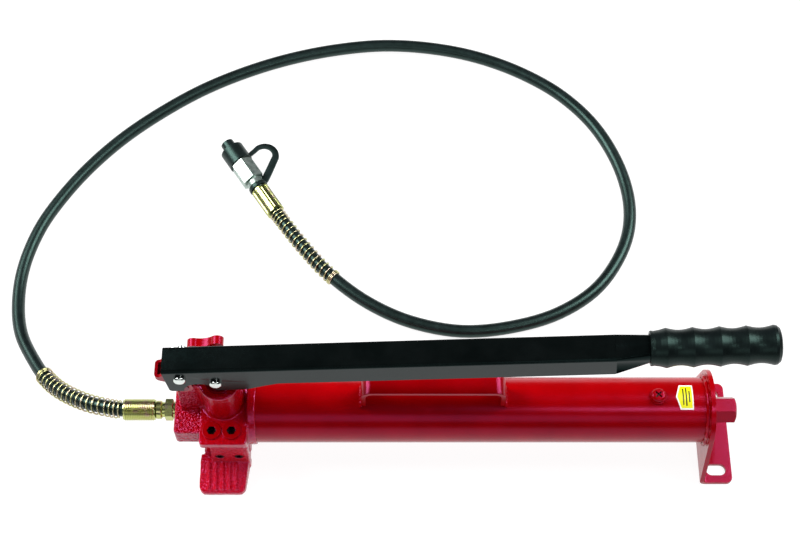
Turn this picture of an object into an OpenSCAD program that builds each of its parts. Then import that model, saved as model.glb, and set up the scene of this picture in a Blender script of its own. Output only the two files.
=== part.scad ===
/* [Reservoir] */
// Outside diameter of the reservoir tube
tube_od = 65; // [62:1:66]
// Wall thickness of the reservoir tube
tube_wall = 3.2; // [2.5:0.1:4]
// X of the tube's open end, where it butts against the head
tube_left = -201; // [-203:1:-200]
// X of the tube's other end, welded to the end plate
tube_right = 245.2; // [200:0.1:246]
// Width of the flat bar that the carry bar is bent from
bar_w = 20; // [14:1:24]

/* [End plate] */
// Thickness of the end plate and its foot
plate_t = 4.5; // [3:0.5:6]
// Radius of the plate's round top
plate_r = 40.2; // [38:0.1:42]
// Half the width of the foot, across the pump
foot_half = 55; // [52:1:58]
// Length of the foot beyond the plate
foot_len = 29.3; // [26:0.1:34]
// Width of each fixing slot
slot_w = 12; // [9:0.5:13]
// End-to-end length of each fixing slot
slot_l = 20; // [16:1:21]
// Distance of each slot's centre from the pump's centre plane
slot_y = 41; // [38:1:43]

/* [Lever] */
// Width of the lever's channel
lever_w = 27.5; // [27:0.5:29]
// Wall thickness of the lever
lever_wall = 3; // [2.5:0.1:3.2]
// Diameter of the tube that the lever closes into
neck_od = 25.4; // [24:0.1:27]
// Upward tilt of the lever at rest
lever_tilt = 3.8; // [3:0.1:5]
// Largest radius of the grip
grip_r = 18.7; // [18:0.1:20]

/* [Pump] */
// Diameter of the pump plunger
plunger_d = 16; // [12:1:16]
// Diameter of the three pivot pins
pin_d = 8; // [6:0.5:8]
// Distance between the two eyes of the link
link_len = 30; // [28:1:32]
// Across-flats size of the tie rod's cap nut
nut_af = 24; // [22:1:27]

/* [Hose] */
// Outside diameter of the hose
hose_d = 14; // [12:1:14]
// Outside diameter of the coil-spring bend guards
guard_d = 18; // [18:0.5:21]

/* [Hidden] */
$fn = 64;
run_gap = 0.05;          // radial clearance of a running or assembly fit
axis_z = 63;             // height of the reservoir's axis
tube_r = tube_od / 2;
tube_bore_r = tube_r - tube_wall;
plate_x = tube_right + plate_t;
plunger_x = -233;        // the plunger's vertical axis
pin_b_z = 158.5;         // plunger pin, at the lever's lowest position
pin_a = [-266, 167];     // fulcrum pin, X and Z at rest
pin_c = [pin_a[0], pin_a[1] - link_len];
pin_r = pin_d / 2;
clip_out = 3.9;          // split pins' distance outside the lever's wall
head_top = 85;           // ledge that carries the valve plugs
boss_top = 132.7;
boss_r = 20;
ledge_z = 59.5;          // underside of the ledge, over the foot pad's flange
head_bottom = 24;
lug_half = 5.9;          // half thickness of the fulcrum lug
link_in = 6.3;           // half widths inside and outside the U-shaped link
link_out = 9.3;
web_out = -291.4;        // the link's web, the pump's left end
valve_y = -32;
inlet_x = -243.4;
outlet_x = -224;
valve_seat_z = 66.5;     // seats of the inlet and outlet balls
relief_seat_z = 67;
low_way_z = 63.5;        // oilways below and above the inlet and outlet seats
high_way_z = 68.3;
outlet_way_z = 72.6;
suction_z = 46;
release_pos = [-253, 80];
knob_face = 67;
tie_r = 6;
pad_screws_x = [-240, -221];
pad_screw_z = 33;
pad_face = -38.5;
pad_front = -67;
port_x = -282.6;         // left face of the head, where the hose screws in
filler_x = 194.5;
far_start = [-196, 258, 13.5];   // hose end of the coupler's ferrule
far_angle = 123;

red = "#c4161c";
black = "#181a1b";
zinc = "#c9c48a";
steel = "#b9bcc0";

// ---------- shared shapes ----------

// A rectangle with true round corners, given by its limits.
module rounded_rect(x, y, r) {
    translate([x[0] + r, y[0]]) square([x[1] - x[0] - 2 * r, y[1] - y[0]]);
    translate([x[0], y[0] + r]) square([x[1] - x[0], y[1] - y[0] - 2 * r]);
    for (cx = [x[0] + r, x[1] - r], cy = [y[0] + r, y[1] - r])
        translate([cx, cy]) circle(r);
}

// A block between limits, its vertical edges rounded.
module slab(x, y, z, r) {
    translate([0, 0, z[0]])
        linear_extrude(z[1] - z[0]) rounded_rect(x, y, r);
}

// A cylinder that starts at p and runs along X, Y or Z.
module rod_x(p, r, len) {
    translate(p) rotate([0, 90, 0]) cylinder(r = r, h = len);
}
module rod_y(p, r, len) {
    translate(p) rotate([-90, 0, 0]) cylinder(r = r, h = len);
}
module rod_z(p, r, len) {
    translate(p) cylinder(r = r, h = len);
}

// An outline drawn in X and Z, extruded across the pump between y[0] and y[1].
module across(y) {
    translate([0, y[1], 0]) rotate([90, 0, 0]) linear_extrude(y[1] - y[0]) children();
}

// Turns children that stand on +Z to lie along the reservoir's axis from x.
module along_axis(x) {
    translate([x, 0, axis_z]) rotate([0, 90, 0]) children();
}

// The lever's own frame: X along the channel, Z up, origin at the plunger pin.
module lever_frame() {
    translate([plunger_x, 0, pin_b_z]) rotate([0, -lever_tilt, 0]) children();
}

// The coupler end of the hose: +Z along its axis, away from the hose.
module far_frame(s = 0) {
    translate(far_start) rotate([0, 90, far_angle]) translate([0, 0, s]) children();
}

module ring(r_out, r_in, h) {
    difference() {
        cylinder(r = r_out, h = h);
        translate([0, 0, -1]) cylinder(r = r_in, h = h + 2);
    }
}

// A hexagonal bar with one end chamfered to a cone.
module hex_bar(af, h, chamfer = 1.5) {
    corner_r = af / sqrt(3);
    intersection() {
        cylinder(r = corner_r, h = h, $fn = 6);
        rotate_extrude() polygon([[0, 0], [corner_r, 0], [corner_r, h - chamfer],
                                  [corner_r - 2 * chamfer, h], [0, h]]);
    }
}

// A pan head whose top edge is rounded.
module domed_head(r, h) {
    rotate_extrude() {
        square([r - 0.6 * h, h]);
        square([r, 0.4 * h]);
        translate([r - 0.6 * h, 0.4 * h]) intersection() {
            circle(0.6 * h);
            square(h);
        }
    }
}

// ---------- curves swept along a path ----------

function unit(v) = v / norm(v);
function catmull(a, b, c, d, t) =
    0.5 * (2 * b + (c - a) * t + (2 * a - 5 * b + 4 * c - d) * t * t
           + (3 * b - a - 3 * c + d) * t * t * t);
// A point of the smooth curve through p, never so low that the hose meets the floor's plane.
function route_point(p, u) =
    let (n = len(p) - 1, i = min(floor(u), n - 1),
         q = catmull(p[max(i - 1, 0)], p[i], p[i + 1], p[min(i + 2, n)], u - i))
    [q.x, q.y, max(q.z, hose_d / 2)];
// Points every 1/per of a segment, between route points u0 and u1.
function route(p, u0, u1, per) =
    [for (k = [0 : (u1 - u0) * per]) route_point(p, u0 + k / per)];
function tangent(p, i) = unit(p[min(i + 1, len(p) - 1)] - p[max(i - 1, 0)]);
function swept_ring(p, i, r, sides) =
    let (t = tangent(p, i), s = unit(cross([0, 0, 1], t)), b = cross(t, s))
    [for (k = [0 : sides - 1]) p[i] + r * (cos(360 * k / sides) * s + sin(360 * k / sides) * b)];
function swept_points(p, r, sides) =
    [for (i = [0 : len(p) - 1]) each swept_ring(p, i, r, sides)];
function side_faces(n, sides, base, flip) =
    [for (i = [0 : n - 2], k = [0 : sides - 1])
        let (a = base + i * sides + k, b = base + i * sides + (k + 1) % sides)
        each flip ? [[a, b, b + sides], [a, b + sides, a + sides]]
                  : [[a, a + sides, b + sides], [a, b + sides, b]]];

// A solid tube along the points p.
module swept_rod(p, r, sides) {
    n = len(p);
    first = [for (k = [0 : sides - 1]) k];
    last = [for (k = [0 : sides - 1]) n * sides - 1 - k];
    polyhedron(swept_points(p, r, sides), concat([first, last], side_faces(n, sides, 0, false)));
}

// A hollow sleeve along the points p.
module swept_sleeve(p, r, r_in, sides) {
    n = len(p);
    inner = n * sides;
    ends = [for (k = [0 : sides - 1])
        let (k1 = (k + 1) % sides, z = (n - 1) * sides)
        each [[k, k1, inner + k1], [k, inner + k1, inner + k],
              [z + k, inner + z + k, inner + z + k1], [z + k, inner + z + k1, z + k1]]];
    polyhedron(concat(swept_points(p, r, sides), swept_points(p, r_in, sides)),
               concat(side_faces(n, sides, 0, false), side_faces(n, sides, inner, true), ends));
}

// A small compression spring standing on z = 0.
module coil_spring(coil_r, wire_r, turns, h, per_turn = 12, sides = 6) {
    n = turns * per_turn;
    p = [for (i = [0 : n])
        [coil_r * cos(360 * i / per_turn), coil_r * sin(360 * i / per_turn),
         wire_r + (h - 2 * wire_r) * i / n]];
    swept_rod(p, wire_r, sides);
}

// ---------- pump head ----------

// Outside shape of the casting, before it is bored.
module head_casting() {
    slab([port_x, -250], [-30, 30], [51, 75], 4);
    slab([-255.5, -209], [-46.5, 46], [ledge_z, head_top], 4);
    slab([-255.5, -209], [-30.5, 38], [head_bottom, 66], 3);
    rod_z([plunger_x, 0, 66], boss_r, boss_top - 66);
    // fulcrum lug, webbed to the plunger boss
    across([-lug_half, lug_half]) {
        polygon([[-276, 60], [-274.3, pin_c[1]], [-261, pin_c[1] + 6.5],
                 [plunger_x - boss_r + 4, boss_top - 8], [plunger_x, 70], [-250, 60]]);
        translate([pin_c[0], pin_c[1]]) circle(8.3);
    }
    // collar that the reservoir butts against, and the spigot inside it
    along_axis(-209.4) cylinder(r = tube_r + 2, h = tube_left + 209.4);
    along_axis(tube_left - 1) cylinder(r = tube_bore_r - run_gap, h = 16);
    rod_y([release_pos[0], 20, release_pos[1]], 12, 29);
}

// Oilways, drilled between the valves, the plunger bore and the ports.
module oilways() {
    reservoir_x = tube_left + 16;
    // under the plunger, with the low and high cross-drillings to the valves
    rod_z([plunger_x, 0, 60], 2.2, 32);
    rod_y([plunger_x, valve_y - 3, low_way_z], 1.7, -2 * valve_y + 6);
    rod_y([plunger_x, valve_y - 3, high_way_z], 1.4, -valve_y + 3);
    rod_x([inlet_x, valve_y, high_way_z], 1.2, plunger_x - inlet_x + 1);
    for (y = [valve_y, -valve_y])
        rod_x([plunger_x - 0.5, y, low_way_z], 1.5, outlet_x - plunger_x + 0.5);
    // suction, from the reservoir to below the inlet valve
    rod_x([inlet_x - 4, -14, suction_z], 3, reservoir_x - inlet_x + 4);
    rod_z([inlet_x, -14, suction_z], 2.3, 19);
    rod_y([inlet_x, valve_y, low_way_z], 1.7, 20);
    // pressure, from the outlet valve to the hose port and the release valve
    rod_y([outlet_x, valve_y, outlet_way_z], 1.2, 13);
    rod_x([-271, -20, outlet_way_z], 1.4, outlet_x + 272);
    rod_z([-270, -20, 63], 1.2, 10);
    rod_y([-270, -21, 64], 1.6, 21);
    rod_z([release_pos[0], -20, outlet_way_z], 1.2, 8.3);
    rod_y([release_pos[0], -21, release_pos[1]], 1.5, 34);
    // returns from the release and relief valves
    rod_x([release_pos[0], 16, release_pos[1]], 1.8, reservoir_x - release_pos[0]);
    rod_y([outlet_x, 17, 74], 1.3, 14);
    rod_x([outlet_x - 1, 18, 74], 1.5, reservoir_x - outlet_x + 1);
}

module pump_head() {
    color(red) difference() {
        head_casting();
        oilways();
        // plunger bore, seal chamber and gland thread
        rod_z([plunger_x, 0, 88], plunger_d / 2 + run_gap, 50);
        rod_z([plunger_x, 0, 112.7], 12, 30);
        // inlet and outlet valve chambers, with the seats below
        for (x = [inlet_x, outlet_x]) {
            rod_z([x, valve_y, 77], 7, 15);
            rod_z([x, valve_y, valve_seat_z], 5, 11);
            rod_z([x, valve_y, 61.5], 2.2, 6);
        }
        // relief valve chamber, at the back
        rod_z([outlet_x, -valve_y, relief_seat_z], 5, 30);
        rod_z([outlet_x, -valve_y, 61.5], 1.7, 6);
        // release spindle's bore
        rod_y([release_pos[0], 12, release_pos[1]], 5 + run_gap, 40);
        // tie rod, hose port, pad screws and link pin
        along_axis(-222) cylinder(r = tie_r + run_gap, h = 60);
        along_axis(port_x - 1) cylinder(r = 6.6, h = 20);
        for (x = pad_screws_x)
            rod_y([x, -31, pad_screw_z], 2.9, 16);
        rod_y([pin_c[0], -10, pin_c[1]], pin_r + run_gap, 20);
        // the ledge's underside slopes back to the foot pad's flange
        translate([-260, 0, 0]) rotate([90, 0, 90]) linear_extrude(60)
            polygon([[-47, 77.5], [-47, 50], [-38.5, 50], [-38.5, ledge_z + 0.5]]);
        // groove for the reservoir's O-ring
        along_axis(-194.8) ring(tube_bore_r + 1, tube_bore_r - 2.6, 3.2);
    }
}

module head_seal() {
    color("#222222") along_axis(-193.2)
        rotate_extrude() translate([tube_bore_r - 1.3, 0]) circle(1.25);
}

// ---------- foot pad under the head ----------

// Plan of the tread, wider at the back, with round front corners.
module tread_plan() {
    r = 7;
    left = -262;
    right = -215;
    translate([left + r, pad_front + r]) circle(r);
    translate([right - r, pad_front + r]) circle(r);
    polygon([[left + r, pad_front], [right - r, pad_front], [right + 0.1, pad_front + r],
             [right + 4, -30], [left + 1.5, -30], [left, pad_front + r]]);
}

module foot_pad() {
    tread_low = 8;
    tread_high = 20;
    rib_pitch = 6.8;
    slope = atan((tread_high - tread_low) / (pad_face - pad_front - 2));
    color(red) difference() {
        union() {
            slab([-257, -212], [-31, 30], [0, head_bottom], 3);
            // flange that is screwed to the head's front, with a round lip
            translate([-248, 0, 0]) rotate([90, 0, 90]) linear_extrude(37.5) {
                translate([pad_face, 5]) square([-30.5 - pad_face, 49]);
                translate([(pad_face - 30.5) / 2, 54]) circle((-30.5 - pad_face) / 2);
            }
            // sloping tread and its ribs
            intersection() {
                linear_extrude(30) tread_plan();
                translate([-270, 0, 0]) rotate([90, 0, 90]) linear_extrude(70)
                    polygon([[pad_front, 0], [-30, 0], [-30, tread_high], [pad_face, tread_high],
                             [pad_front + 2, tread_low], [pad_front, tread_low - 2]]);
            }
            for (i = [-2 : 2])
                translate([-238.3 + i * rib_pitch, pad_front + 4, tread_low + 1])
                    rotate([-90 + slope, 0, 0]) {
                        cylinder(r = 1.8, h = 26);
                        sphere(1.8);
                    }
        }
        // lightening pocket underneath
        slab([-250, -215], [-28, 24], [-1, 14], 5);
        for (x = pad_screws_x) {
            rod_y([x, pad_face - 1, pad_screw_z], 3.2, 12);
            rod_y([x, pad_face - 1, pad_screw_z], 4.4, 6);
        }
    }
}

module foot_screws() {
    color("#3a3a3c") for (x = pad_screws_x) difference() {
        union() {
            rod_y([x, pad_face + 0.4, pad_screw_z], 4.2, 4.6);
            rod_y([x, pad_face + 4, pad_screw_z], 2.85, 18);
        }
        translate([x, pad_face, pad_screw_z]) rotate([-90, 0, 0]) cylinder(r = 2.3, h = 3, $fn = 6);
    }
}

// ---------- reservoir ----------

module reservoir_tube() {
    color(red) difference() {
        along_axis(tube_left) ring(tube_r, tube_bore_r, tube_right - tube_left);
        rod_z([filler_x, 0, axis_z], 6, 50);
    }
}

// Upright outline of the end plate, drawn in Y and Z.
module plate_outline() {
    corner = [foot_half, 6];
    d = norm([corner[0], axis_z - corner[1]]);
    a = acos(plate_r / d) - atan((axis_z - corner[1]) / corner[0]);
    touch = [plate_r * cos(a), axis_z + plate_r * sin(a)];
    translate([0, axis_z]) circle(plate_r);
    polygon([[-foot_half, 7], [foot_half, 7], corner + [0, 1], touch,
             [-touch[0], touch[1]], [-corner[0], corner[1] + 1]]);
}

module end_plate() {
    bend_r = 7;
    foot_x = plate_x + foot_len;
    slot_x = plate_x + 13.3;
    color(red) difference() {
        union() {
            translate([tube_right, 0, 0]) rotate([90, 0, 90])
                linear_extrude(plate_t) plate_outline();
            // the bend, and the foot beyond it
            across([-foot_half, foot_half]) intersection() {
                translate([tube_right, 0]) square(bend_r);
                difference() {
                    translate([tube_right + bend_r, bend_r]) circle(bend_r);
                    translate([tube_right + bend_r, bend_r]) circle(bend_r - plate_t);
                }
            }
            linear_extrude(plate_t) intersection() {
                rounded_rect([plate_x - 12, foot_x], [-foot_half, foot_half], 6);
                translate([tube_right + bend_r, -foot_half]) square([foot_len, 2 * foot_half]);
            }
            // weld between tube and plate
            along_axis(tube_right - 3.5) rotate_extrude()
                polygon([[tube_r, 0], [tube_r + 3.5, 3.5], [tube_r, 3.5]]);
        }
        for (s = [-1, 1])
            translate([slot_x, s * slot_y, -1]) linear_extrude(plate_t + 2)
                rounded_rect([-slot_l / 2, slot_l / 2], [-slot_w / 2, slot_w / 2],
                             slot_w / 2 - 0.01);
        along_axis(tube_right - 1) cylinder(r = tie_r + run_gap, h = plate_t + 2);
    }
}

module tie_rod() {
    color(steel) along_axis(-221) cylinder(r = tie_r, h = plate_x + 20 + 221);
}

module end_nut() {
    color(red) difference() {
        along_axis(plate_x) rotate([0, 0, 30]) hex_bar(nut_af, 26.3, 2);
        along_axis(plate_x - 1) cylinder(r = tie_r + run_gap, h = 22);
        along_axis(plate_x - 1) cylinder(r = 9, h = 2.5);
    }
}

module end_seal() {
    color("#b87333") along_axis(plate_x) ring(9, tie_r + run_gap, 1.5);
}

module carry_bar() {
    left = -97;
    right = 44.2;
    top = 124.5;
    bar_t = 5;
    bend = 11;
    color(red) difference() {
        across([-bar_w / 2, bar_w / 2]) difference() {
            rounded_rect([left, right], [60, top], bend);
            rounded_rect([left + bar_t, right - bar_t], [50, top - bar_t], bend - bar_t);
        }
        along_axis(left - 1) cylinder(r = tube_r, h = right - left + 2);
        translate([left - 1, -50, 0]) cube([right - left + 2, 100, 80]);
    }
}

module filler_boss() {
    color(red) difference() {
        union() {
            rod_z([filler_x, 0, 93], 8.25, 4);
            rod_z([filler_x, 0, 91], 6, 4);
        }
        difference() {
            along_axis(filler_x - 10) cylinder(r = tube_r, h = 20);
            rod_z([filler_x, 0, 80], 6, 30);
        }
        rod_z([filler_x, 0, 80], 4, 30);
        rod_z([filler_x, 0, 95.8], 6.6, 5);
    }
}

module filler_seal() {
    color("#222222") translate([filler_x, 0, 95.8]) ring(6.5, 4.1, 1.15);
}

module filler_screw() {
    color(red) translate([filler_x, 0, 97]) difference() {
        union() {
            domed_head(7, 4.2);
            translate([0, 0, -9]) cylinder(r = 3.9, h = 9.5);
        }
        // cross recess
        for (a = [45, 135])
            rotate([0, 0, a]) translate([-4, -0.8, 1.8]) cube([8, 1.6, 3]);
    }
}

// Plain plate where a data label goes: five sides, pointing along -X, no lettering.
module blank_label() {
    length = 17;
    point = 4;
    half = 14;
    x = 212;
    color("#e8d820") intersection() {
        along_axis(x) ring(tube_r + 0.35, tube_r, length);
        translate([x, 0, axis_z]) linear_extrude(50)
            polygon([[0, 0], [point, half - 1], [length, half - 1], [length, 1 - half],
                     [point, 1 - half]]);
    }
}

module suction_tube() {
    color("#a9a46a") translate([-194, -14, suction_z]) rotate([0, 90, 0]) ring(2.95, 2, 74);
}

module suction_filter() {
    color("#cfd2d4") translate([-120, -14, suction_z]) rotate([0, 90, 0]) difference() {
        cylinder(r = 7, h = 24);
        translate([0, 0, 2]) cylinder(r = 6.2, h = 20);
        translate([0, 0, -1]) cylinder(r = 2, h = 5);
    }
}

// ---------- valves ----------

// Hexagon-socket plug with a thin flange, over a valve chamber.
module valve_plug(x) {
    color(red) difference() {
        union() {
            rod_z([x, valve_y, 77], 6.95, 9);
            rod_z([x, valve_y, head_top], 9.3, 1.6);
        }
        translate([x, valve_y, 80]) cylinder(r = 4.6, h = 10, $fn = 6);
    }
}

module inlet_plug() { valve_plug(inlet_x); }
module outlet_plug() { valve_plug(outlet_x); }

module valve_ball(x, y, z, r) {
    color(steel) translate([x, y, z]) sphere(r);
}

// A spring from just above the ball to just under its plug at top.
module valve_spring(x, y, z, r, top) {
    color("#8f9498") translate([x, y, z]) coil_spring(r, 0.35, 4, top - z - 0.05);
}

module inlet_ball() { valve_ball(inlet_x, valve_y, valve_seat_z + 2.1, 3); }
module outlet_ball() { valve_ball(outlet_x, valve_y, valve_seat_z + 2.1, 3); }
module inlet_spring() { valve_spring(inlet_x, valve_y, valve_seat_z + 4.6, 1.9, 77); }
module outlet_spring() { valve_spring(outlet_x, valve_y, valve_seat_z + 4.6, 1.9, 77); }
module relief_ball() { valve_ball(outlet_x, -valve_y, relief_seat_z + 1.95, 2.5); }
module relief_spring() { valve_spring(outlet_x, -valve_y, relief_seat_z + 4.1, 1.5, 76); }

module relief_screw() {
    color("#3a3a3c") difference() {
        rod_z([outlet_x, -valve_y, 76], 4.95, 8);
        translate([outlet_x - 6, -valve_y - 0.8, 82]) cube([12, 1.6, 3]);
    }
}

// ---------- plunger ----------

module plunger_gland() {
    color("#7c1216") difference() {
        union() {
            rod_z([plunger_x, 0, 118.7], 11.9, 15);
            rod_z([plunger_x, 0, boss_top], 14, 4.3);
        }
        rod_z([plunger_x, 0, 100], plunger_d / 2 + run_gap, 50);
    }
}

module plunger_seal() {
    color("#222222") translate([plunger_x, 0, 113]) ring(11.9, plunger_d / 2 + run_gap, 5.6);
}

module plunger() {
    eye_r = 10;
    eye_half = 9.5;
    color(steel) difference() {
        union() {
            rod_z([plunger_x, 0, 88.5], plunger_d / 2, pin_b_z - 88.5);
            rod_y([plunger_x, -eye_half, pin_b_z], eye_r, 2 * eye_half);
        }
        rod_y([plunger_x, -20, pin_b_z], pin_r + run_gap, 40);
    }
}

// ---------- lever, pins and link ----------

// Heights in the lever's frame, measured from the plunger pin.
lever_top = 25.75;
lever_low = -5.5;
channel_end = 375;
neck_start = 408;
neck_z = 19.5;
grip_start = 406.5;
grip_len = 119.5;

// Cross-section of the channel as a filled shape, drawn in Y and Z.
module channel_section(half, top, r) {
    translate([-half, -30]) square([2 * half, top + 30 - r]);
    translate([-half + r, -30]) square([2 * (half - r), top + 30]);
    for (s = [-1, 1]) translate([s * (half - r), top - r]) circle(r);
}

// Side view of the channel: two ears with a round cut-out between them.
module channel_side() {
    difference() {
        polygon([[-47.6, 40], [-47.6, lever_top - 1], [-46.6, -14], [-44, -16.3], [-2.5, -17],
                 [28, -16.5], [46, -9.5], [59, lever_low], [channel_end, lever_low],
                 [channel_end, 40]]);
        translate([-17.5, -17.5]) circle(15.5);
    }
}

// The channel's section at its end, blended into the round neck.
module lever_blend(half, top, low, r_neck, grow) {
    hull() {
        translate([channel_end - grow, 0, 0]) rotate([90, 0, 90]) linear_extrude(0.5 + grow)
            intersection() {
                channel_section(half, top, 4);
                translate([-half, low]) square([2 * half, top - low]);
            }
        translate([neck_start, 0, neck_z]) rotate([0, 90, 0])
            cylinder(r = r_neck, h = 0.5 + grow, $fn = 32);
    }
}

module lever() {
    half = lever_w / 2;
    neck_r = neck_od / 2;
    color(black) lever_frame() difference() {
        union() {
            intersection() {
                translate([-60, 0, 0]) rotate([90, 0, 90]) linear_extrude(channel_end + 60)
                    channel_section(half, lever_top, 4);
                across([-half, half]) channel_side();
            }
            lever_blend(half, lever_top, lever_low, neck_r, 0);
            translate([neck_start, 0, neck_z]) rotate([0, 90, 0]) cylinder(r = neck_r, h = 112);
        }
        translate([-60, 0, 0]) rotate([90, 0, 90]) linear_extrude(channel_end + 60)
            channel_section(half - lever_wall, lever_top - lever_wall, 1.5);
        lever_blend(half - lever_wall, lever_top - lever_wall, lever_low - 9,
                    neck_r - 2.3, 0.2);
        translate([neck_start, 0, neck_z]) rotate([0, 90, 0]) cylinder(r = neck_r - 2.3, h = 120);
        // the walls' lower edges sweep up into the neck
        across([-half - 1, half + 1])
            polygon([[368, lever_low - 12], [376, lever_low + 0.8], [384, lever_low + 3.2],
                     [392, -0.2], [400, 3.4], [neck_start, neck_z - neck_r],
                     [neck_start, lever_low - 12]]);
        translate([0, -20, 0]) rotate([-90, 0, 0]) cylinder(r = pin_r + run_gap, h = 40);
        translate([fulcrum_in_lever()[0], -20, fulcrum_in_lever()[1]]) rotate([-90, 0, 0])
            cylinder(r = pin_r + run_gap, h = 40);
    }
}

// Fulcrum pin's place in the lever's frame.
function fulcrum_in_lever() =
    let (dx = pin_a[0] - plunger_x, dz = pin_a[1] - pin_b_z)
    [dx * cos(lever_tilt) + dz * sin(lever_tilt), dz * cos(lever_tilt) - dx * sin(lever_tilt)];

// Outline of the moulded grip: a collar, scallops between ridges, a rounded end.
module grip_outline() {
    bore = neck_od / 2 + run_gap;
    pitch = 24.5;
    first = 15;
    valley = 2.2;
    steps = 8;
    scallops = [for (i = [0 : 3], k = [0 : steps - 1])
        [grip_r - valley * sin(180 * k / steps), first + (i + k / steps) * pitch]];
    polygon(concat([[bore + 1.2, 3], [bore + 1.2, 0], [16.2, 0], [16.5, 1.2], [16.2, 4],
                    [17, 9]], scallops,
                   [[grip_r, first + 4 * pitch], [grip_r - 0.4, grip_len - 4],
                    [grip_r - 2.6, grip_len - 1.2], [grip_r - 6, grip_len], [0, grip_len],
                    [0, grip_len - 5], [bore, grip_len - 5], [bore, 3]]));
}

module grip() {
    color("#101214") lever_frame()
        translate([grip_start, 0, neck_z]) rotate([0, 90, 0]) rotate_extrude() grip_outline();
}

// A headed pivot pin through the lever's walls at the point p, X and Z.
module headed_pin(p) {
    half = lever_w / 2;
    color("#d8dcdc") difference() {
        union() {
            rod_y([p[0], -half, p[1]], pin_r, lever_w + 6);
            translate([p[0], -half, p[1]]) rotate([90, 0, 0]) domed_head(5.9, 3.8);
        }
        rod_x([p[0] - 10, half + clip_out, p[1]], 1.1, 20);
    }
}

module fulcrum_pin() { headed_pin(pin_a); }
module plunger_pin() { headed_pin([plunger_x, pin_b_z]); }

module pin_washers() {
    color("#c8cccc") for (p = [pin_a, [plunger_x, pin_b_z]])
        translate([p[0], lever_w / 2, p[1]]) rotate([-90, 0, 0]) ring(7.5, pin_r + 0.1, 1.4);
}

// Split pins through the pins' tails, each with its eye and two bent legs.
module pin_clips() {
    color("#b8bcbc") for (p = [pin_a, [plunger_x, pin_b_z]])
        translate([p[0], lever_w / 2 + clip_out, p[1]]) rotate([0, 90, 0]) {
            rod_z([0, 0, -7], 1, 13);
            translate([0, 0, 7.5]) rotate([0, 90, 0]) rotate_extrude()
                translate([1.6, 0]) circle(0.8);
            for (s = [-1, 1])
                translate([0, 0, -6.4]) rotate([0, s * 115, 0]) cylinder(r = 0.8, h = 5);
        }
}

// U-shaped link: a web at the left and two cheeks, with an open eye for the fulcrum pin
// and a close one for the link pin.
module link() {
    color(red) difference() {
        union() {
            intersection() {
                across([-link_out, link_out])
                    polygon([[web_out, 156], [web_out, 161], [web_out + 4.4, 161],
                             [pin_a[0] - 6, pin_a[1] + 7], [pin_a[0] + 9, pin_a[1]],
                             [pin_c[0] + 8, pin_c[1]], [pin_c[0] - 2, pin_c[1] - 8],
                             [pin_c[0] - 9, pin_c[1]], [pin_c[0] - 13, pin_c[1] + 12]]);
                slab([web_out, -230], [-link_out, link_out], [120, 180], 4);
            }
            rod_y([pin_a[0], -link_out, pin_a[1]], 10, 2 * link_out);
            rod_y([pin_c[0], -link_out, pin_c[1]], 9, 2 * link_out);
        }
        slab([web_out + 3, -220], [-link_in, link_in], [156.5, 190], 1);
        slab([web_out + 8, -220], [-link_in, link_in], [110, 158], 1);
        rod_y([pin_a[0], -20, pin_a[1]], pin_r + 1.8, 40);
        rod_y([pin_c[0], -20, pin_c[1]], pin_r + run_gap, 40);
    }
}

module link_pin() {
    color("#d8dcdc") {
        rod_y([pin_c[0], -link_out - 0.2, pin_c[1]], pin_r, 2 * link_out + 0.4);
        for (y = [-link_out - 0.9, link_out + 0.1])
            rod_y([pin_c[0], y, pin_c[1]], 5.2, 0.8);
    }
}

// ---------- release valve ----------

module release_spindle() {
    color(steel) difference() {
        translate([release_pos[0], 0, release_pos[1]]) rotate([-90, 0, 0]) rotate_extrude()
            polygon([[0, 12.05], [1.4, 12.05], [5, 15.7], [5, knob_face - 1], [4.2, knob_face],
                     [0, knob_face]]);
        rod_x([release_pos[0] - 30, 62, release_pos[1]], 1.5, 60);
        translate([release_pos[0], 44, release_pos[1]]) rotate([-90, 0, 0]) ring(6, 3.6, 2.6);
    }
}

module release_seal() {
    color("#222222") translate([release_pos[0], 45.3, release_pos[1]]) rotate([-90, 0, 0])
        rotate_extrude() translate([4.3, 0]) circle(0.68);
}

// Knob with three round lobes and a hub.
module release_knob() {
    turn = 44;
    color(red) translate([release_pos[0], 0, release_pos[1]]) rotate([-90, 0, 0]) difference() {
        union() {
            translate([0, 0, knob_face - 9.5]) linear_extrude(9) difference() {
                union() {
                    circle(14.5);
                    for (a = [0 : 120 : 359]) rotate(a - turn) translate([14.5, 0]) circle(6.6);
                }
                for (a = [0 : 120 : 359]) rotate(a + 60 - turn) translate([28, 0]) circle(17.7);
            }
            translate([0, 0, knob_face - 13.5]) cylinder(r = 8.5, h = 5);
        }
        translate([0, 0, 40]) cylinder(r = 5 + run_gap, h = 40);
        rod_x([-30, 0, 62], 1.55, 60);
    }
}

module knob_pin() {
    color(steel) rod_x([release_pos[0] - 10, 62, release_pos[1]], 1.5, 20);
}

// ---------- hose ----------

// Route of the hose's centre, by hand: out of the pump, down to the floor, round the loop.
hose_route = [
    [-309, 0, 63], [-335, 0, 63], [-354, 4, 60.5], [-373, 11, 54.5], [-391, 21, 47],
    [-408, 33, 39.5], [-422, 47, 32], [-438, 68, 24], [-460, 108, 14], [-469, 150, 8.5],
    [-468, 194, 7], [-456, 240, 7], [-436, 280, 7], [-408, 321, 7], [-373, 360, 7],
    [-332, 395, 7], [-287, 426, 7], [-238, 451, 7], [-187, 470, 7], [-133, 483, 7],
    [-78, 489, 7], [-22, 485, 7], [32, 472, 7], [83, 449, 7], [128, 417, 7],
    [164, 374, 7], [188, 320, 7], [196, 266, 7], [186, 217, 7], [156, 169, 7],
    [112, 137, 7], [60, 120, 7], [6, 115, 7], [-47, 126, 7], [-93, 148, 8.5],
    [-133, 179, 11], [-164, 214, 12.5], [-196, 258, 13.5], [-210.2, 279.8, 13.5]];
hose_last = len(hose_route) - 1;
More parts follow.
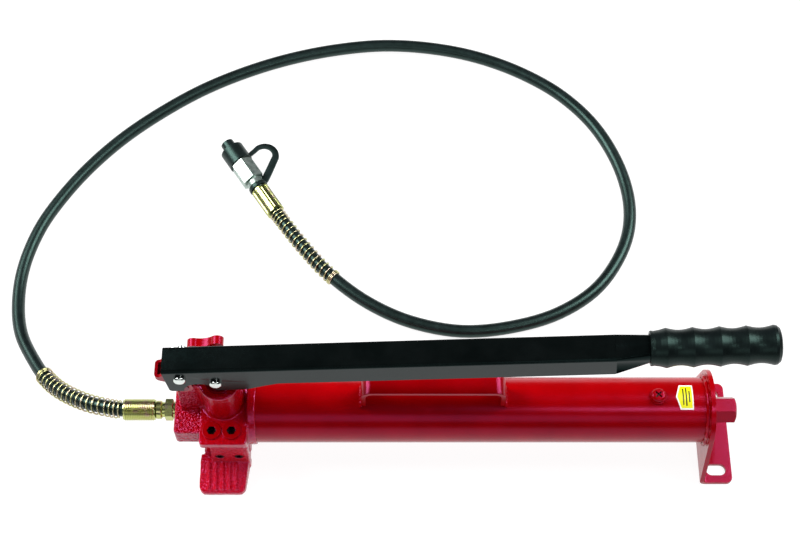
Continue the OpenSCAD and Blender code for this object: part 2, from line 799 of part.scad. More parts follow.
guard_turn_u = 6.7;      // where the pump end's guard stops, counted in route points
far_guard_u = hose_last - 3.1;
guard_wall = 1.6;

module hose() {
    color("#17191a") swept_rod(route(hose_route, 0, hose_last, 2), hose_d / 2, 12);
}

// Bend guards: a wire coil round the hose, shown as its sleeve.
module pump_guard() {
    color(zinc) swept_sleeve([for (k = [0 : 7]) route_point(hose_route,
        1.16 + k * (guard_turn_u - 1.16) / 7)], guard_d / 2, guard_d / 2 - guard_wall, 12);
}

module coupler_guard() {
    color(zinc) swept_sleeve([for (k = [0 : 6]) route_point(hose_route,
        far_guard_u + k * (hose_last - 1.02 - far_guard_u) / 6)],
        guard_d / 2, guard_d / 2 - guard_wall, 12);
}

// Hose tail with its hexagon, screwed into the head.
module hose_fitting() {
    color(zinc) difference() {
        union() {
            along_axis(-285) cylinder(r = 6.5, h = 20);
            along_axis(-285.2) cylinder(r = 8, h = 2.6);
            along_axis(-293) hex_bar(19, 8, 1);
            along_axis(-302.8) rotate_extrude()
                polygon([[0, 0], [7.6, 0], [9.2, 1.2], [9.2, 5.5], [7.6, 7], [7.6, 9.9], [0, 9.9]]);
        }
        along_axis(-310) cylinder(r = 2.5, h = 60);
    }
}

// Crimped ferrule with rings rolled round it.
module pump_ferrule() {
    rings = 15;
    length = 32;
    low = 10.3;
    profile = [for (k = [0 : 2 * rings])
        [k % 2 == 0 ? 10.9 : low, 1 + k * (length - 2) / (2 * rings)]];
    color(zinc) along_axis(-303 - length) rotate_extrude() polygon(concat(
        [[hose_d / 2 + run_gap, 0], [low, 0]], profile,
        [[low, length], [2.6, length], [2.6, 26.2], [hose_d / 2 + run_gap, 26.2]]));
}

// Crimped ferrule with flutes pressed along it.
module coupler_ferrule() {
    color(zinc) far_frame() difference() {
        cylinder(r = 10, h = 34);
        translate([0, 0, -1]) cylinder(r = hose_d / 2 + run_gap, h = 27.2);
        translate([0, 0, -1]) cylinder(r = 2.5, h = 40);
        for (a = [0 : 30 : 359])
            rotate(a) translate([11.1, 0, 2]) cylinder(r = 1.8, h = 30);
    }
}

// Quick-coupler half: neck, hexagon and the plain nose under the cap.
module coupler_body() {
    color(steel) far_frame(34) difference() {
        union() {
            cylinder(r = 8, h = 15);
            translate([0, 0, 7.5]) cylinder(r = 9.3, h = 5);
            translate([0, 0, 14]) hex_bar(23, 27, 1.2);
            translate([0, 0, 40]) cylinder(r = 9.9, h = 18);
        }
        translate([0, 0, -1]) cylinder(r = 2.5, h = 80);
    }
}

module dust_cap() {
    color(black) far_frame(75.2) difference() {
        union() {
            cylinder(r = 13.5, h = 21);
            translate([0, 0, 20]) cylinder(r = 10, h = 3);
            translate([0, 0, 22]) cylinder(r = 7.5, h = 10);
        }
        translate([0, 0, -1]) cylinder(r = 10.2, h = 19);
    }
}

// Strap moulded to the cap, looped to a ring round the coupler's neck.
module cap_strap() {
    loop_r = 19;
    band_t = 2.4;
    band_w = 7;
    color(black) far_frame() {
        translate([0, 0, 35.5]) ring(10.6, 8.1, 5);
        // band, lying level beside the coupler
        translate([-band_w / 2, 0, 0]) rotate([90, 0, 90]) linear_extrude(band_w) {
            difference() {
                translate([-23, 59]) circle(loop_r);
                translate([-23, 59]) circle(loop_r - band_t);
                translate([-13.52, 0]) square([40, 100]);
            }
            polygon([[-9.5, 36], [-9.5, 39.5], [-13.6, 44.5], [-13.6, 41.3]]);
        }
    }
}

pump_head();
foot_pad();
foot_screws();
reservoir_tube();
end_plate();
tie_rod();
end_nut();
end_seal();
head_seal();
carry_bar();
filler_boss();
filler_screw();
filler_seal();
blank_label();
suction_tube();
suction_filter();
inlet_plug();
inlet_spring();
inlet_ball();
outlet_plug();
outlet_spring();
outlet_ball();
relief_screw();
relief_spring();
relief_ball();
plunger_gland();
plunger_seal();
plunger();
lever();
grip();
fulcrum_pin();
plunger_pin();
pin_washers();
pin_clips();
link();
link_pin();
release_spindle();
release_seal();
release_knob();
knob_pin();
hose_fitting();
pump_ferrule();
pump_guard();
hose();
coupler_guard();
coupler_ferrule();
coupler_body();
dust_cap();
cap_strap();
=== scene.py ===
import math

import bmesh
import bpy
from mathutils import Matrix, Vector, noise


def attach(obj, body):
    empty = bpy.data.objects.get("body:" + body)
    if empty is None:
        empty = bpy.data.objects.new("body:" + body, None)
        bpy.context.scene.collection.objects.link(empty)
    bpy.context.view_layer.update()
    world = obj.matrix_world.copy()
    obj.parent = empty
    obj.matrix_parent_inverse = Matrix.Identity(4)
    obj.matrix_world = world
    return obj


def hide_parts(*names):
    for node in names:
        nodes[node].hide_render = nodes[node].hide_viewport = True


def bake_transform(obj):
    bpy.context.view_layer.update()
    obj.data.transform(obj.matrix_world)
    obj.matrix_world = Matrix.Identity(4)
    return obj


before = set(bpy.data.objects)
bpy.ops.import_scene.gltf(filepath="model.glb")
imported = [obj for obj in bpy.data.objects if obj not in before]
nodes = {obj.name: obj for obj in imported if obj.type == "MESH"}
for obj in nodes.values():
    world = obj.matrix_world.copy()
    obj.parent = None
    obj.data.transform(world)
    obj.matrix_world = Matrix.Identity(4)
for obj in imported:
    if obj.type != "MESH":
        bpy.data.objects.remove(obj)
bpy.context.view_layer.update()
mm = 0.001
scene = bpy.context.scene

# ---------------------------------------------------------------- camera and studio
# Seen from above and in front: long lens, level horizon, looking down at the pump as it
# stands on a white sweep. Two large softboxes stand behind, left and right,
# and leave a dark gap between them that the lever's flat top mirrors.

camera_data = bpy.data.cameras.new("camera")
camera_data.lens = 72
camera_data.sensor_width = 36
camera = bpy.data.objects.new("camera", camera_data)
camera.location = (-59 * mm, -637.6 * mm, 1537.5 * mm)
camera.rotation_euler = (math.radians(28.5), 0, 0)
scene.collection.objects.link(camera)
scene.camera = camera
scene.view_settings.view_transform = "Standard"


def linear(hex_code):
    """An sRGB hex colour as linear red, green, blue and an alpha of one."""
    channels = [int(hex_code[i:i + 2], 16) / 255 for i in (1, 3, 5)]
    return [c / 12.92 if c <= 0.04045 else ((c + 0.055) / 1.055) ** 2.4 for c in channels] + [1.0]


def softbox(name, place, size, power, target, glint=1.0):
    """A rectangular area light at place, facing target. Sizes and places in millimetres."""
    data = bpy.data.lights.new(name, "AREA")
    data.shape = "RECTANGLE"
    data.size = size[0] * mm
    data.size_y = size[1] * mm
    data.energy = power
    data.specular_factor = glint
    light = bpy.data.objects.new(name, data)
    light.location = Vector(place) * mm
    facing = (Vector(target) - Vector(place)).to_track_quat("-Z", "Y")
    light.rotation_euler = facing.to_euler()
    scene.collection.objects.link(light)


softbox("left_softbox", (-1750, 600, 1700), (1200, 1500), 72, (-100, 0, 0))
softbox("right_softbox", (1500, 650, 1800), (1200, 1500), 60, (150, 0, 0))
softbox("front_softbox", (-300, -1900, 1500), (2200, 900), 8, (0, 0, 0), 0.04)
softbox("grip_softbox", (560, -760, 2000), (420, 330), 4, (200, 0, 0), 0.5)

world = bpy.data.worlds.new("studio")
world.use_nodes = True
world.node_tree.nodes["Background"].inputs["Color"].default_value = linear("#dfe6ee")
world.node_tree.nodes["Background"].inputs["Strength"].default_value = 0.06
scene.world = world


def add_node(tree, kind, settings=None, links=None):
    """Adds a node, sets its sockets or properties by name, and links its sockets by name."""
    added = tree.nodes.new(kind)
    for name, value in (settings or {}).items():
        if name in added.inputs:
            added.inputs[name].default_value = value
        else:
            setattr(added, name, value)
    for name, source in (links or {}).items():
        tree.links.new(source, added.inputs[name])
    return added


def new_finish(name, colour, roughness, metallic=0.0, gloss=0.5, glint="#ffffff",
               mottle=None, sheen=None, bumps=None):
    """A material with a plain shader and up to three patterns, sized in millimetres.
    gloss is how much a paint or rubber mirrors, glint the colour of what it mirrors.
    mottle: lump size, detail, where the first colour ends, where the second starts, and
    both colours. sheen: lump size, detail and two roughnesses. bumps: lump size and depth."""
    finish = bpy.data.materials.new(name)
    finish.use_nodes = True
    tree = finish.node_tree
    shader = tree.nodes["Principled BSDF"]
    shader.inputs["Base Color"].default_value = linear(colour)
    shader.inputs["Roughness"].default_value = roughness
    shader.inputs["Metallic"].default_value = metallic
    if metallic == 0:
        shader.inputs["Specular IOR Level"].default_value = gloss
        shader.inputs["Specular Tint"].default_value = linear(glint)
    place = add_node(tree, "ShaderNodeTexCoord").outputs["Object"]
    if mottle:
        lump, detail, first_ends, second_starts, first_hex, second_hex = mottle
        lumps = add_node(tree, "ShaderNodeTexNoise", {"Scale": 1 / (lump * mm), "Detail": detail},
                         {"Vector": place})
        ramp = add_node(tree, "ShaderNodeValToRGB", links={"Fac": lumps.outputs["Fac"]})
        first, second = ramp.color_ramp.elements
        first.position, second.position = first_ends, second_starts
        first.color, second.color = linear(first_hex), linear(second_hex)
        tree.links.new(ramp.outputs["Color"], shader.inputs["Base Color"])
    if sheen:
        lump, detail, glossiest, dullest = sheen
        lumps = add_node(tree, "ShaderNodeTexNoise", {"Scale": 1 / (lump * mm), "Detail": detail},
                         {"Vector": place})
        span = add_node(tree, "ShaderNodeMapRange", {"To Min": glossiest, "To Max": dullest},
                        {"Value": lumps.outputs["Fac"]})
        tree.links.new(span.outputs["Result"], shader.inputs["Roughness"])
    if bumps:
        lump, depth = bumps
        lumps = add_node(tree, "ShaderNodeTexNoise", {"Scale": 1 / (lump * mm), "Detail": 2.0},
                         {"Vector": place})
        bump = add_node(tree, "ShaderNodeBump", {"Strength": 1.0, "Distance": depth * mm},
                        {"Height": lumps.outputs["Fac"]})
        tree.links.new(bump.outputs["Normal"], shader.inputs["Normal"])
    return finish


sweep_white = new_finish("matt_white_sweep", "#767676", 0.9, gloss=0.1,
                         mottle=(400, 2.0, 0.3, 0.7, "#727272", "#7a7a7a"))
sweep_shader = sweep_white.node_tree.nodes["Principled BSDF"]
sweep_shader.inputs["Emission Color"].default_value = linear("#ffffff")
sweep_shader.inputs["Emission Strength"].default_value = 0.93
sweep_mesh = bpy.data.meshes.new("studio_floor")
sweep_bm = bmesh.new()
bmesh.ops.create_grid(sweep_bm, x_segments=1, y_segments=1, size=6)
sweep_bm.to_mesh(sweep_mesh)
sweep_bm.free()
sweep_mesh.materials.append(sweep_white)
floor = bpy.data.objects.new("studio_floor", sweep_mesh)
scene.collection.objects.link(floor)

# ---------------------------------------------------------------- hose
# Quarter-inch jack hose: a smooth black synthetic rubber cover over steel braid, 14 mm
# thick, crimped into a ferrule at each end. It leaves the pump level, falls to the floor
# and lies in one open loop that comes back over the pump's left side.

hose_d = 14
hose_route = [
    (-309, 0, 63), (-335, 0, 63), (-354, 4, 60.5), (-373, 11, 54.5), (-391, 21, 47),
    (-408, 33, 39.5), (-422, 47, 32), (-438, 68, 24), (-460, 108, 14), (-469, 150, 8.5),
    (-468, 194, 7), (-456, 240, 7), (-436, 280, 7), (-408, 321, 7), (-373, 360, 7),
    (-332, 395, 7), (-287, 426, 7), (-238, 451, 7), (-187, 470, 7), (-133, 483, 7),
    (-78, 489, 7), (-22, 485, 7), (32, 472, 7), (83, 449, 7), (128, 417, 7),
    (164, 374, 7), (188, 320, 7), (196, 266, 7), (186, 217, 7), (156, 169, 7),
    (112, 137, 7), (60, 120, 7), (6, 115, 7), (-47, 126, 7), (-93, 148, 8.5),
    (-133, 179, 11), (-164, 214, 12.5), (-196, 258, 13.5), (-210.2, 279.8, 13.5)]
hose_last = len(hose_route) - 1


def on_route(u):
    """A point of the smooth curve through the route, u counted in route points."""
    i = min(int(u), hose_last - 1)
    a, b, c, d = (Vector(hose_route[max(0, min(k, hose_last))]) for k in range(i - 1, i + 3))
    t = u - i
    p = 0.5 * (2 * b + (c - a) * t + (2 * a - 5 * b + 4 * c - d) * t * t
               + (3 * b - a - 3 * c + d) * t * t * t)
    return Vector((p.x, p.y, max(p.z, hose_d / 2))) * mm


def tube_curve(name, points, diameter, material):
    """A round bar or tube of that diameter in millimetres along the points, in metres."""
    data = bpy.data.curves.new(name, "CURVE")
    data.dimensions = "3D"
    data.bevel_depth = diameter / 2 * mm
    data.bevel_resolution = 5
    data.use_fill_caps = True
    spline = data.splines.new("POLY")
    spline.points.add(len(points) - 1)
    for end, p in zip(spline.points, points):
        end.co = (p.x, p.y, p.z, 1)
    spline.use_smooth = True
    data.materials.append(material)
    made = bpy.data.objects.new(name, data)
    scene.collection.objects.link(made)
    return made


# extruded black rubber: satin, a little blue-green where it catches the light, with fine
# lengthwise scuffs and dust
hose_rubber = new_finish("extruded_hose_rubber", "#0b0f10", 0.34, gloss=0.5, glint="#c4fff0",
                         mottle=(14, 4, 0.35, 0.75, "#080b0c", "#141a1c"), sheen=(5, 3, 0.27, 0.44),
                         bumps=(1.3, 0.04))

per_point = 6
hose_points = [on_route(k / per_point) for k in range(hose_last * per_point + 1)]
hose = tube_curve("jack_hose", hose_points, hose_d, hose_rubber)
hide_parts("hose")
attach(hose, "pump")

# ---------------------------------------------------------------- bend guards
# A spring of zinc-plated wire over each end of the hose. The turns are open along the hose
# and closed up, touching, where the guard ends. The other end is sprung over the ferrule.

wire_d = 1.6
open_pitch = 6.6
shut_pitch = 1.65
shut_turns = 2.4
lead_pitch = 4.4      # the first three turns on the ferrule, or the last
lead_turns = 3

# yellow chromate over zinc: warm yellow-green that drifts to pink and straw, bright where
# the wire turns to the light
guard_zinc = new_finish("yellow_chromated_wire", "#c2c484", 0.3, 1.0,
                        mottle=(9, 3, 0.34, 0.56, "#c6b4a0", "#c2c28a"), sheen=(2, 2, 0.18, 0.32),
                        bumps=(0.9, 0.02))


def guard_coil(name, start_u, stop_u, shut_at_stop, guard_r, material):
    """A wire coil round the hose between two route points, closed up at one end. guard_r is
    the radius of the wire's centre line, in millimetres."""
    samples = [start_u + (stop_u - start_u) * k / 200 for k in range(201)]
    line = [on_route(u) for u in samples]
    run = [0.0]
    for a, b in zip(line, line[1:]):
        run.append(run[-1] + (b - a).length / mm)
    total = run[-1] - wire_d
    points = []
    along = 0.0
    turn = 0.0
    step = 1 / 20
    while along < total:
        left = (total - along) if shut_at_stop else along
        pitch = shut_pitch if left < shut_turns * shut_pitch else open_pitch
        if (along if shut_at_stop else total - along) < lead_turns * lead_pitch:
            pitch = min(pitch, lead_pitch)
        k = next(i for i in range(200) if run[i + 1] >= along + wire_d / 2)
        share = (along + wire_d / 2 - run[k]) / (run[k + 1] - run[k])
        centre = line[k].lerp(line[k + 1], share)
        ahead = (line[k + 1] - line[k]).normalized()
        side = Vector((0, 0, 1)).cross(ahead).normalized()
        up = ahead.cross(side)
        angle = turn * math.tau
        points.append(centre + guard_r * mm * (math.cos(angle) * side + math.sin(angle) * up))
        along += pitch * step
        turn += step
    made = tube_curve(name, points, wire_d, material)
    made.data.bevel_resolution = 2
    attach(made, "pump")
    return made


pump_coil = guard_coil("pump_end_guard", 1.1, 6.4, True, 8.9, guard_zinc)
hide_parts("pump_guard")
coupler_coil = guard_coil("coupler_end_guard", hose_last - 3.1, hose_last - 1.02, False, 8.2,
                          guard_zinc)
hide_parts("coupler_guard")

# ---------------------------------------------------------------- ferrules and fittings
# Turned and crimped steel at both ends of the hose, zinc plated and yellow chromated. The
# pump end is rolled with fine rings, the coupler end is pressed into flutes.


def dress(material, *names):
    """Puts a finish on CAD pieces as they are."""
    for name in names:
        piece = nodes[name]
        piece.data.materials.clear()
        piece.data.materials.append(material)


# thick yellow chromate on turned steel: straw, green and rose in soft bands
ferrule_zinc = new_finish("yellow_chromated_steel", "#bcc07c", 0.24, 1.0,
                          mottle=(7, 3, 0.3, 0.5, "#c0ae96", "#bac07a"), sheen=(2.5, 2, 0.18, 0.3),
                          bumps=(0.8, 0.015))
dress(ferrule_zinc, "hose_fitting", "coupler_ferrule")


def finish_piece(bm, name, material, body, smooth_angle=40):
    """Turns a bmesh into a shaded piece that rides on a body."""
    mesh = bpy.data.meshes.new(name)
    bm.to_mesh(mesh)
    bm.free()
    mesh.materials.append(material)
    for face in mesh.polygons:
        face.use_smooth = True
    mesh.set_sharp_from_angle(angle=math.radians(smooth_angle))
    made = bpy.data.objects.new(name, mesh)
    scene.collection.objects.link(made)
    if body:
        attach(made, body)
    return made


def lathe(outline, start, ahead):
    """A turned solid: outline gives radius and distance along its axis, in millimetres."""
    bm = bmesh.new()
    ring = [bm.verts.new((r * mm, 0, x * mm)) for r, x in outline]
    edges = [bm.edges.new(pair) for pair in zip(ring, ring[1:])]
    if outline[0][0] > 0:
        edges.append(bm.edges.new((ring[-1], ring[0])))
    bmesh.ops.spin(bm, geom=ring + edges, cent=(0, 0, 0), axis=(0, 0, 1), angle=math.tau,
                   steps=64, use_merge=True)
    bmesh.ops.remove_doubles(bm, verts=bm.verts, dist=0.002 * mm)
    bmesh.ops.recalc_face_normals(bm, faces=bm.faces)
    turn = Vector(ahead).to_track_quat("Z", "Y").to_matrix().to_4x4()
    bm.transform(Matrix.Translation(Vector(start) * mm) @ turn)
    return bm


# the pump end's ferrule, rolled with seventeen fine rings
ring_count = 17
ferrule_len = 32
ring_line = [(10.15 + 0.75 * abs(math.sin(math.pi * k / 6)), 1 + 29.6 * k / (6 * ring_count))
             for k in range(6 * ring_count + 1)]
crimp_outline = ([(hose_d / 2 + 0.05, 0), (10.1, 0)] + ring_line
                 + [(10.1, ferrule_len), (hose_d / 2 + 0.05, ferrule_len)])
pump_crimp = finish_piece(lathe(crimp_outline, (-335, 0, 63), (1, 0, 0)), "pump_end_ferrule",
                          ferrule_zinc, "pump", 60)
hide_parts("pump_ferrule")

# clear-passivated zinc on the coupler: nearly white, faint blue-green
bright_zinc = new_finish("clear_zinc_plate", "#b0c0b8", 0.4, 1.0,
                         mottle=(6, 3, 0.35, 0.7, "#98aaa2", "#c4d0ca"), sheen=(2, 2, 0.34, 0.5),
                         bumps=(0.8, 0.012))
dress(bright_zinc, "coupler_body")

# the same plate on the polished pins: mirror-like, with a dark and a bright side
pin_zinc = new_finish("polished_zinc_plate", "#d4dcd8", 0.14, 1.0,
                      sheen=(2, 2, 0.1, 0.2), bumps=(1.2, 0.02))
dress(pin_zinc, "fulcrum_pin", "plunger_pin", "pin_washers", "pin_clips", "knob_pin")

# moulded soft rubber of the cap and its strap: black with a soft even sheen
cap_rubber = new_finish("moulded_cap_rubber", "#0e1213", 0.38, gloss=0.45, glint="#c4fff0",
                        mottle=(10, 3, 0.35, 0.75, "#0a0d0e", "#161c1e"), sheen=(3, 2, 0.3, 0.46),
                        bumps=(1.1, 0.03))
dress(cap_rubber, "dust_cap")


def ribbon(name, points, width, thickness, material):
    """A flat band along level points, broad side up, narrowing to half. In millimetres."""
    bm = bmesh.new()
    rows = []
    for i, p in enumerate(points):
        ahead = (points[min(i + 1, len(points) - 1)] - points[max(i - 1, 0)]).normalized()
        broad = width * (1 - 0.5 * i / len(points))
        side = Vector((-ahead.y, ahead.x, 0)) * broad / 2
        rise = Vector((0, 0, thickness / 2))
        corners = [p + side + rise, p - side + rise, p - side - rise, p + side - rise]
        rows.append([bm.verts.new(c * mm) for c in corners])
    for a, b in zip(rows, rows[1:]):
        for k in range(4):
            bm.faces.new((a[k], a[(k + 1) % 4], b[(k + 1) % 4], b[k]))
    bm.faces.new(rows[0])
    bm.faces.new(rows[-1])
    bmesh.ops.recalc_face_normals(bm, faces=bm.faces)
    long_edges = [e for e in bm.edges if e.calc_face_angle() > math.radians(60)]
    bmesh.ops.bevel(bm, geom=long_edges, offset=0.6 * mm, affect="EDGES", segments=2,
                    profile=0.5, material=-1, clamp_overlap=True)
    return finish_piece(bm, name, material, None)


path_steps = 8


def smooth_path(knots):
    """A smooth curve through the knots, in millimetres."""
    last = len(knots) - 1
    path = []
    for k in range(last * path_steps + 1):
        i = min(k // path_steps, last - 1)
        t = k / path_steps - i
        a, b, c, d = (Vector(knots[max(0, min(n, last))]) for n in range(i - 1, i + 3))
        path.append(0.5 * (2 * b + (c - a) * t + (2 * a - 5 * b + 4 * c - d) * t * t
                           + (3 * b - a - 3 * c + d) * t * t * t))
    return path


# the strap: moulded in one with the cap's base, bent round like a teardrop back to the neck
bend_centre = Vector((-212, 331, 14))
bend_r = 13
strap_bend = [bend_centre + bend_r * Vector((math.cos(a), math.sin(a), 0))
              for a in map(math.radians, range(-30, 151, 30))]
strap_line = [(-215, 298, 13.5), (-210, 300, 13.5), *strap_bend, (-232, 329, 13.5)]
strap = ribbon("cap_strap_moulded", smooth_path(strap_line), 9, 2.2, cap_rubber)
coupler_start = Vector((-196, 258, 13.5))
strap_ring_ahead = 35.5
far_angle = math.radians(123)
far_way = Vector((math.cos(far_angle), math.sin(far_angle), 0))
neck_ring = lathe([(8.1, 0), (10.6, 0.4), (10.9, 2.5), (10.6, 4.6), (8.1, 5)],
                  coupler_start + strap_ring_ahead * far_way, far_way)
neck_ring = finish_piece(neck_ring, "strap_neck_ring", cap_rubber, "pump")
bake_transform(strap)
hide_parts("cap_strap")


# ---------------------------------------------------------------- reservoir
# Steel tube butted against the head and welded to a bent end plate, with a flat-bar carry
# handle welded on top. All of it is sprayed together in thick gloss red enamel.


def red_enamel_finish(name, dark, light, peel_mm, depth_mm):
    """Sprayed gloss enamel: deep red under a wet-looking skin with faint orange peel."""
    finish = new_finish(name, light, 0.2, gloss=0.5, glint="#ff66b4",
                        mottle=(35, 3, 0.3, 0.75, dark, light), sheen=(8, 3, 0.16, 0.28),
                        bumps=(peel_mm, depth_mm))
    return finish


red_enamel = red_enamel_finish("red_gloss_enamel", "#8e0001", "#a20003", 2.6, 0.02)
dress(red_enamel, "reservoir_tube", "filler_boss")


def eased_copy(node, name, radius, material, body, angle=35, segments=3, change=None):
    """The CAD shape with its sharp edges rounded to radius, in millimetres."""
    bm = bmesh.new()
    bm.from_mesh(nodes[node].data)
    bmesh.ops.remove_doubles(bm, verts=bm.verts, dist=0.004 * mm)
    if change:
        change(bm)
    bmesh.ops.dissolve_limit(bm, angle_limit=math.radians(0.4), verts=bm.verts, edges=bm.edges)
    sharp = [e for e in bm.edges
             if len(e.link_faces) == 2 and e.calc_face_angle() > math.radians(angle)]
    bmesh.ops.bevel(bm, geom=sharp, offset=radius * mm, offset_type="OFFSET", affect="EDGES",
                    segments=segments, profile=0.5, material=-1, clamp_overlap=True)
    bmesh.ops.triangulate(bm, faces=bm.faces)
    made = finish_piece(bm, name, material, body)
    weighted = made.modifiers.new("even_shading", "WEIGHTED_NORMAL")
    weighted.keep_sharp = True
    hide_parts(node)
    return made


eased_copy("end_plate", "end_plate_painted", 0.7, red_enamel, "pump")
eased_copy("carry_bar", "carry_bar_painted", 0.8, red_enamel, "pump")
eased_copy("end_nut", "cap_nut_painted", 0.6, red_enamel, "pump")


def weld_bead(name, points, width):
    """A row of overlapping weld ripples along points, painted over."""
    made = tube_curve(name, points, width, red_enamel)
    made.data.bevel_resolution = 2
    for k, end in enumerate(made.data.splines[0].points):
        end.radius = 1 + 0.22 * math.sin(k * 1.9) + 0.12 * math.sin(k * 4.7)
    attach(made, "pump")


axis_z = 63
tube_r = 32.5
bar_half = 11
for foot, foot_x in (("left", -97.2), ("right", 44.4)):
    weld_bead("carry_bar_weld_" + foot,
              [Vector((foot_x, y, axis_z + math.sqrt(tube_r ** 2 - y ** 2) + 0.6)) * mm
               for y in range(-bar_half, bar_half + 1)], 4.2)
ring_r = tube_r + 1
weld_bead("end_plate_weld",
          [Vector((243.6, ring_r * math.cos(a / 30 * math.pi),
                   axis_z + ring_r * math.sin(a / 30 * math.pi))) * mm
           for a in range(61)], 4.6)

# ---------------------------------------------------------------- pump head and foot pad
# Iron castings from sand moulds: rounded corners, a skin like coarse sandpaper that the
# enamel softens but doesn't hide.


def cast_copy(node, name, voxel, passes, grit_mm, grit_depth, material):
    """The CAD shape as a sand casting: corners worn round and the skin pitted."""
    bm = bmesh.new()
    bm.from_mesh(nodes[node].data)
    bmesh.ops.remove_doubles(bm, verts=bm.verts, dist=0.004 * mm)
    mesh = bpy.data.meshes.new(name + "_raw")
    bm.to_mesh(mesh)
    bm.free()
    raw = bpy.data.objects.new(name + "_raw", mesh)
    scene.collection.objects.link(raw)
    remesh = raw.modifiers.new("grain", "REMESH")
    remesh.mode = "VOXEL"
    remesh.voxel_size = voxel * mm
    depsgraph = bpy.context.evaluated_depsgraph_get()
    lumpy = bpy.data.meshes.new_from_object(raw.evaluated_get(depsgraph))
    bpy.data.objects.remove(raw)
    bm = bmesh.new()
    bm.from_mesh(lumpy)
    for _ in range(passes):
        bmesh.ops.smooth_vert(bm, verts=bm.verts, factor=0.5, use_axis_x=True,
                              use_axis_y=True, use_axis_z=True)
    bm.normal_update()
    for v in bm.verts:
        grit = noise.noise(v.co / (grit_mm * mm)) * grit_depth
        v.co += v.normal * (grit - grit_depth / 2) * mm
    made = finish_piece(bm, name, material, "pump", 60)
    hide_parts(node)
    return made


# enamel over a sand casting: the same red, broken by grains a millimetre across whose
# shoulders each catch a point of light
def casting_finish(name, dark, light, grain_mm, depth_mm, rough_from, rough_to):
    """Red enamel on cast iron, full of grains where X is left of rough_to, smoother beyond."""
    finish = new_finish(name, light, 0.18, gloss=0.9, glint="#ff80d8",
                        mottle=(1.4, 3, 0.35, 0.7, dark, light), sheen=(3, 3, 0.12, 0.26))
    tree = finish.node_tree
    place = tree.nodes["Texture Coordinate"].outputs["Object"]
    across = add_node(tree, "ShaderNodeSeparateXYZ", links={"Vector": place})
    share = add_node(tree, "ShaderNodeMapRange", {"From Min": rough_from * mm,
                     "From Max": rough_to * mm, "To Min": 1.0, "To Max": 0.12},
                     {"Value": across.outputs["X"]})
    # the grains are drawn coarser than real ones, so that they show at this distance
    grains = add_node(tree, "ShaderNodeTexNoise", {"Scale": 1 / (grain_mm * mm), "Detail": 1},
                      {"Vector": place})
    height = add_node(tree, "ShaderNodeMath", {"operation": "MULTIPLY"})
    tree.links.new(grains.outputs["Fac"], height.inputs[0])
    tree.links.new(share.outputs["Result"], height.inputs[1])
    bump = add_node(tree, "ShaderNodeBump", {"Strength": 1.0, "Distance": depth_mm * mm},
                    {"Height": height.outputs["Value"]})
    tree.links.new(bump.outputs["Normal"], tree.nodes["Principled BSDF"].inputs["Normal"])
    return finish


head_red = casting_finish("red_enamel_on_head", "#960003", "#b8000a", 2.4, 3.2, -258, -254)
# painted light: the foot pad takes a lighter copy of the head's cast red, standing in for the more
# light that falls on the pad
pad_red_painted_lighter = casting_finish("red_enamel_on_foot_pad_painted_lighter", "#b00009", "#d40820", 1.7, 1.1, -230, -150)
cast_copy("pump_head", "pump_head_casting", 1.1, 2, 2.6, 0.12, head_red)
cast_copy("foot_pad", "foot_pad_casting", 0.8, 1, 2.6, 0.15, pad_red_painted_lighter)

# ---------------------------------------------------------------- screws, valves and inside
# The two valve plugs are painted with the head; painted shade makes their sockets near-black.
# Black oxide socket screws hold the foot pad. The plunger, balls, springs, tie rod and seals are
# bare.

# painted shade: near-black with a reddish cast inside the hexagon sockets and the vent screw's
# recess, where shade falls; the shader still gives one small glint
socket_shade_paint = new_finish("socket_painted_shade", "#16080a", 0.25, 0.6,
                          sheen=(2, 2, 0.2, 0.34), bumps=(1.0, 0.02))
plug_y = -32
plug_socket_r = 5.1
plug_socket = (79, 86.2)     # heights of the socket's floor and rim
for plug_node, plug_x in (("inlet_plug", -243.4), ("outlet_plug", -224)):
    plug = eased_copy(plug_node, plug_node + "_painted", 0.5, red_enamel, "pump")
    plug.data.materials.append(socket_shade_paint)
    # painted shade: faces inside the socket take the near-black
    for face in plug.data.polygons:
        from_axis = math.hypot(face.center.x / mm - plug_x, face.center.y / mm - plug_y)
        height = face.center.z / mm
        if from_axis < plug_socket_r and plug_socket[0] < height < plug_socket[1]:
            face.material_index = 1

vent_x = 194.5
vent_socket_r = 4.4
vent_socket = (98.5, 100.8)
vent = eased_copy("filler_screw", "filler_screw_painted", 0.3, red_enamel,
                  "vent_screw")
vent.data.materials.append(socket_shade_paint)
# painted shade: faces inside the screw's recess take the near-black
for face in vent.data.polygons:
    from_axis = math.hypot(face.center.x / mm - vent_x, face.center.y / mm)
    if from_axis < vent_socket_r and vent_socket[0] < face.center.z / mm < vent_socket[1]:
        face.material_index = 1

black_oxide = new_finish("black_oxide_screw", "#2a2a2c", 0.4, 1.0,
                         sheen=(2, 2, 0.3, 0.5), bumps=(0.8, 0.01))
dress(black_oxide, "foot_screws", "relief_screw")

ground_steel = new_finish("ground_steel", "#b9bcc0", 0.22, 1.0,
                          sheen=(2, 2, 0.16, 0.3), bumps=(0.7, 0.008))
dress(ground_steel, "plunger", "release_spindle", "tie_rod", "inlet_ball", "outlet_ball",
      "relief_ball", "inlet_spring", "outlet_spring", "relief_spring", "suction_tube",
      "suction_filter")

seal_rubber = new_finish("nitrile_seal", "#141414", 0.5,
                         bumps=(1.0, 0.02))
dress(seal_rubber, "head_seal", "filler_seal", "plunger_seal", "release_seal")

copper = new_finish("annealed_copper", "#b87348", 0.35, 1.0,
                    bumps=(1.0, 0.01))
dress(copper, "end_seal")

# painted shade: a darker copy of the red enamel over turned steel, on the gland and the link pin
red_enamel_painted_shade = red_enamel_finish("red_enamel_darkened_as_shade", "#500104", "#660206", 2.0, 0.03)
dress(red_enamel_painted_shade, "plunger_gland", "link_pin")

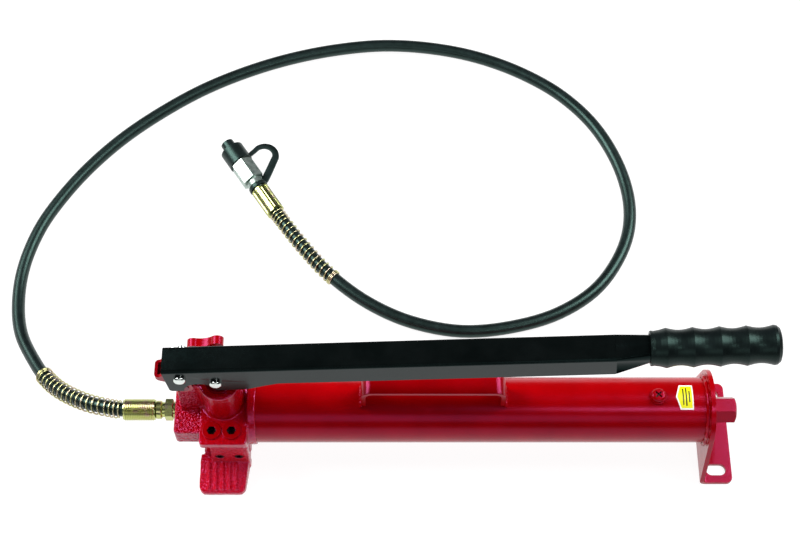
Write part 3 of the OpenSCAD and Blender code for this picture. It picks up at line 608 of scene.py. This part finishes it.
# plain printed film: white border, yellow field, three black bars where words would be
label_film = new_finish("white_label_film", "#f2f2ee", 0.3,
                        bumps=(3, 0.01))
dress(label_film, "blank_label")
yellow_ink = new_finish("yellow_label_ink", "#e8e400", 0.32,
                        bumps=(3, 0.01))
black_ink = new_finish("black_label_ink", "#0c0c0c", 0.35,
                       bumps=(3, 0.01))


def label_print(name, outline, lift, material):
    """A printed patch laid over the tube, its outline in X and Y, lift above the tube."""
    bm = bmesh.new()
    bm.faces.new([bm.verts.new((x * mm, y * mm, 0)) for x, y in outline])
    for y in range(-12, 13, 2):
        bmesh.ops.bisect_plane(bm, geom=bm.verts[:] + bm.edges[:] + bm.faces[:],
                               plane_co=(0, y * mm, 0), plane_no=(0, 1, 0))
    for v in bm.verts:
        v.co.z = axis_z * mm + math.sqrt(((tube_r + lift) * mm) ** 2 - v.co.y ** 2)
    bmesh.ops.solidify(bm, geom=bm.faces, thickness=0.04 * mm)
    bmesh.ops.recalc_face_normals(bm, faces=bm.faces)
    return finish_piece(bm, name, material, "pump")


field_half = 11.6
field_outline = [(213.4, 0), (217, field_half), (227.8, field_half), (227.8, -field_half),
                 (217, -field_half)]
bar_width = 1.2
label_print("label_field", field_outline, 0.44, yellow_ink)
for bar, (bar_x, half) in enumerate(((218.6, 8.5), (221.6, 9.5), (224.6, 6))):
    label_print("label_bar_%d" % bar,
                [(bar_x, -half), (bar_x, half), (bar_x + bar_width, half),
                 (bar_x + bar_width, -half)], 0.52, black_ink)

# ---------------------------------------------------------------- lever and grip
# A steel tube opened into a channel over most of its length, black enamelled, with a
# moulded rubber grip pushed over its round end.

black_enamel = new_finish("black_gloss_enamel", "#060808", 0.16, gloss=0.13, glint="#b4fffa",
                          mottle=(30, 3, 0.35, 0.7, "#050707", "#0a0d0d"), sheen=(6, 3, 0.14, 0.24),
                          bumps=(3, 0.02))


def crease(bm):
    """Presses a shallow line along the middle of the lever's flat top."""
    for y in (-0.9, 0, 0.9):
        bmesh.ops.bisect_plane(bm, geom=bm.verts[:] + bm.edges[:] + bm.faces[:],
                               plane_co=(0, y * mm, 0), plane_no=(0, 1, 0))
    bm.normal_update()
    for v in bm.verts:
        if abs(v.co.y) < 0.05 * mm and v.normal.z > 0.7 and v.co.x < 142 * mm:
            v.co.z -= 0.8 * mm


eased_copy("lever", "lever_painted", 0.7, black_enamel, "lever", 62,
           change=crease)

grip_rubber = new_finish("moulded_grip_rubber", "#080b0c", 0.34, gloss=0.22, glint="#c4fff0",
                         mottle=(12, 3, 0.35, 0.75, "#070a0b", "#0f1415"), sheen=(4, 3, 0.28, 0.4),
                         bumps=(0.9, 0.03))
dress(grip_rubber, "grip")

# ---------------------------------------------------------------- link and release knob
# The link is a bent plate between head and lever. The knob is a small casting pinned to
# the release spindle. Both are enamelled red.

eased_copy("link", "link_painted", 0.8, red_enamel, "link")
eased_copy("release_knob", "release_knob_painted", 1.8, red_enamel,
           "release_valve", segments=4)
